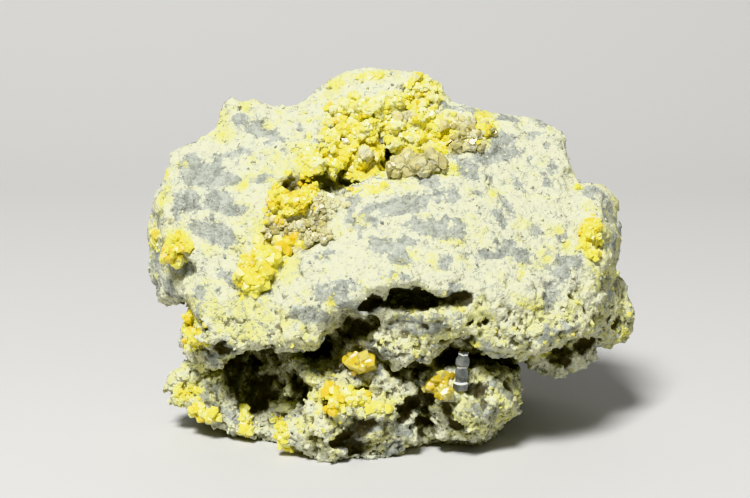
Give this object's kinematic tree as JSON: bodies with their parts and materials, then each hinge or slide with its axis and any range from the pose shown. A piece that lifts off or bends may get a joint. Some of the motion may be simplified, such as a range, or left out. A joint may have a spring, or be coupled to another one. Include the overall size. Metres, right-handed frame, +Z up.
{
  "type": "native sulfur specimen",
  "caption": "Broken block of pale limestone with a slanting hollow lined with yellow sulfur and beige calcite crystals; rests on its broken foot",
  "frame": {"origin": "middle of the whole block's box, at the level on which it rests", "axes": "+Z up, +X along the block's long side, -Y towards the side with the crystals"},
  "size_m": [0.18, 0.1222, 0.1307],
  "materials": {
    "limestone": "matte, broken",
    "sulfur": "resinous crystal faces",
    "honey_sulfur": "resinous, translucent",
    "calcite": "waxy crystal faces",
    "grey_calcite": "waxy, striated"
  },
  "bodies": {
    "root": {"matrix_rock": "limestone", "upper_vug_sulfur": "sulfur", "middle_vug_sulfur": "sulfur", "brow_sulfur": "sulfur", "summit_sulfur": "sulfur", "upper_vug_calcite": "calcite", "centre_calcite": "calcite", "lower_vug_sulfur": "sulfur", "lower_vug_calcite": "calcite", "vug_tail_sulfur": "sulfur", "left_sulfur": "sulfur", "right_seam_sulfur": "sulfur", "pocket_sulfur": "sulfur", "arch_honey_sulfur": "honey_sulfur", "throat_amber_sulfur": "honey_sulfur", "throat_column": "grey_calcite", "ridge_sulfur": "sulfur", "left_underside_sulfur": "sulfur", "mid_underside_sulfur": "sulfur", "toe_sulfur": "sulfur"}
  },
  "joints": []
}
